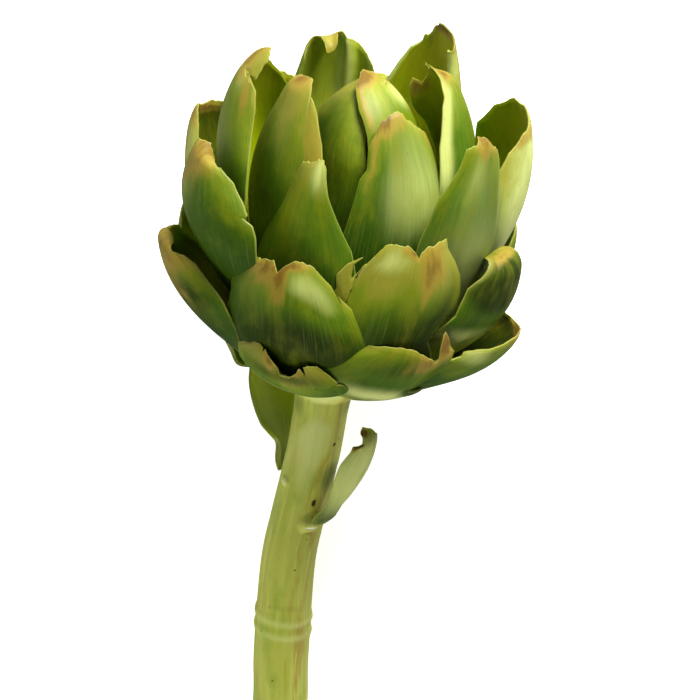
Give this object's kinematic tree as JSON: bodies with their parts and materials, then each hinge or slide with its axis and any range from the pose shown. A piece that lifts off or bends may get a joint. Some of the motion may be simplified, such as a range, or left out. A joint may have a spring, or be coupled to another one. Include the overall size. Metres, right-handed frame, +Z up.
{
  "type": "globe artichoke",
  "caption": "Globe artichoke: a head of overlapping cupped bracts with torn tips on a cut stalk with small leaves, lying on its side on low flat spots.",
  "frame": {"origin": "on the surface that the artichoke lies on, below the middle of its bounding box", "axes": "+Z up from the surface, +Y along the plant from the cut end of the stalk towards the tips of the head, +X to the right as seen from above with the head away from the viewer"},
  "size_m": [0.089, 0.2034, 0.0791],
  "materials": {
    "bract": "waxy green skin with pale streaks, yellow and brown at the torn tips",
    "bud": "waxy yellow-green skin, paler and tighter than the outer bracts",
    "stalk": "pale green skin with fine lengthwise ribs and brown streaks",
    "stalk_leaf": "soft green leaf, yellower on its inner face"
  },
  "bodies": {
    "root": {"stalk_and_heart": "stalk", "closed_bud": "bud", "bud_bract_1": "bud", "bud_bract_2": "bud", "bud_bract_3": "bud", "bud_bract_4": "bud", "bud_bract_5": "bud", "top_bract_1": "bract", "top_bract_2": "bract", "top_bract_3": "bract", "top_bract_4": "bract", "top_bract_5": "bract", "top_bract_6": "bract", "upper_bract_1": "bract", "upper_bract_2": "bract", "upper_bract_3": "bract", "upper_bract_4": "bract", "upper_bract_5": "bract", "upper_bract_6": "bract", "upper_bract_7": "bract", "upper_bract_8": "bract", "middle_bract_1": "bract", "middle_bract_2": "bract", "middle_bract_3": "bract", "middle_bract_4": "bract", "middle_bract_5": "bract", "middle_bract_6": "bract", "middle_bract_7": "bract", "middle_bract_8": "bract", "lower_bract_1": "bract", "lower_bract_2": "bract", "lower_bract_3": "bract", "lower_bract_4": "bract", "lower_bract_5": "bract", "lower_bract_6": "bract", "lower_bract_7": "bract", "stalk_leaf_left": "stalk_leaf", "stalk_leaf_right": "stalk_leaf"}
  },
  "joints": []
}
